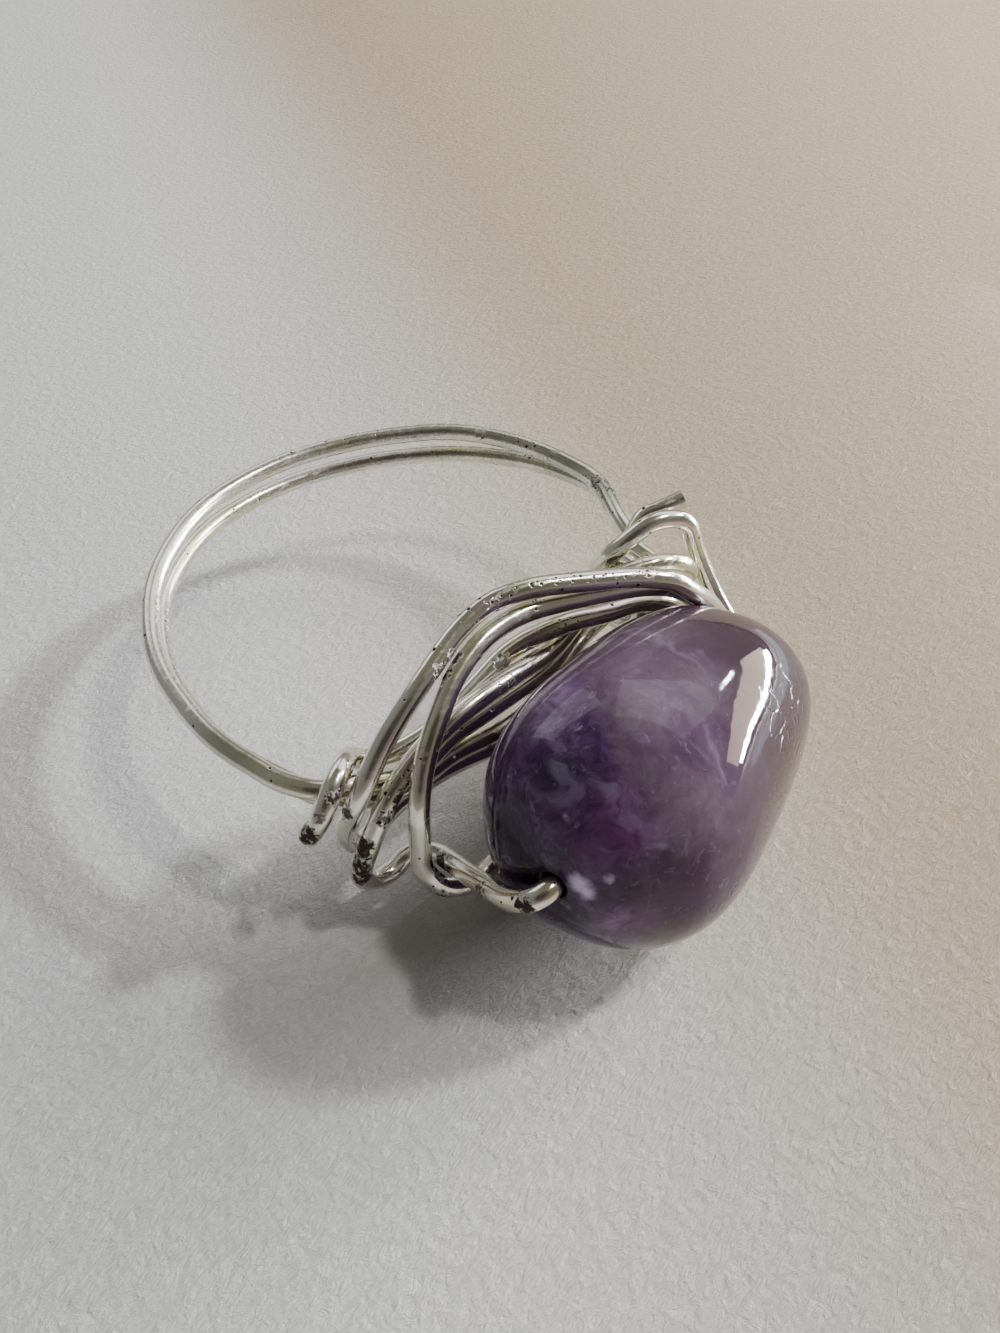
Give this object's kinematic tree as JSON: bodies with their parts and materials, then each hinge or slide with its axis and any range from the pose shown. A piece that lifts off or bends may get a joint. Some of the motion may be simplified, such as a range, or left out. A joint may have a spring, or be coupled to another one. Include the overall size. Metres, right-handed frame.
{
  "type": "wire wrapped ring",
  "caption": "Finger ring bent from round craft wire, with a large drilled pebble bead cradled in a nest of wire loops beside a tight coil.",
  "frame": {"origin": "centre of the finger opening, midway round the band and just above the upper strand's lowest part", "axes": "+Z along the finger opening, up as the ring lies on its side; -Y toward the bead; +X along the bead's longer side"},
  "size_m": [0.0208, 0.0273, 0.0101],
  "materials": {
    "amethyst": "polished, cloudy violet with pale veils",
    "silver_wire": "worn bright plating with dark tarnish spots"
  },
  "bodies": {
    "root": {"bead": "amethyst", "upper_band_wire": "silver_wire", "lower_band_wire": "silver_wire", "nest_wire": "silver_wire", "bead_wire": "silver_wire"}
  },
  "joints": []
}
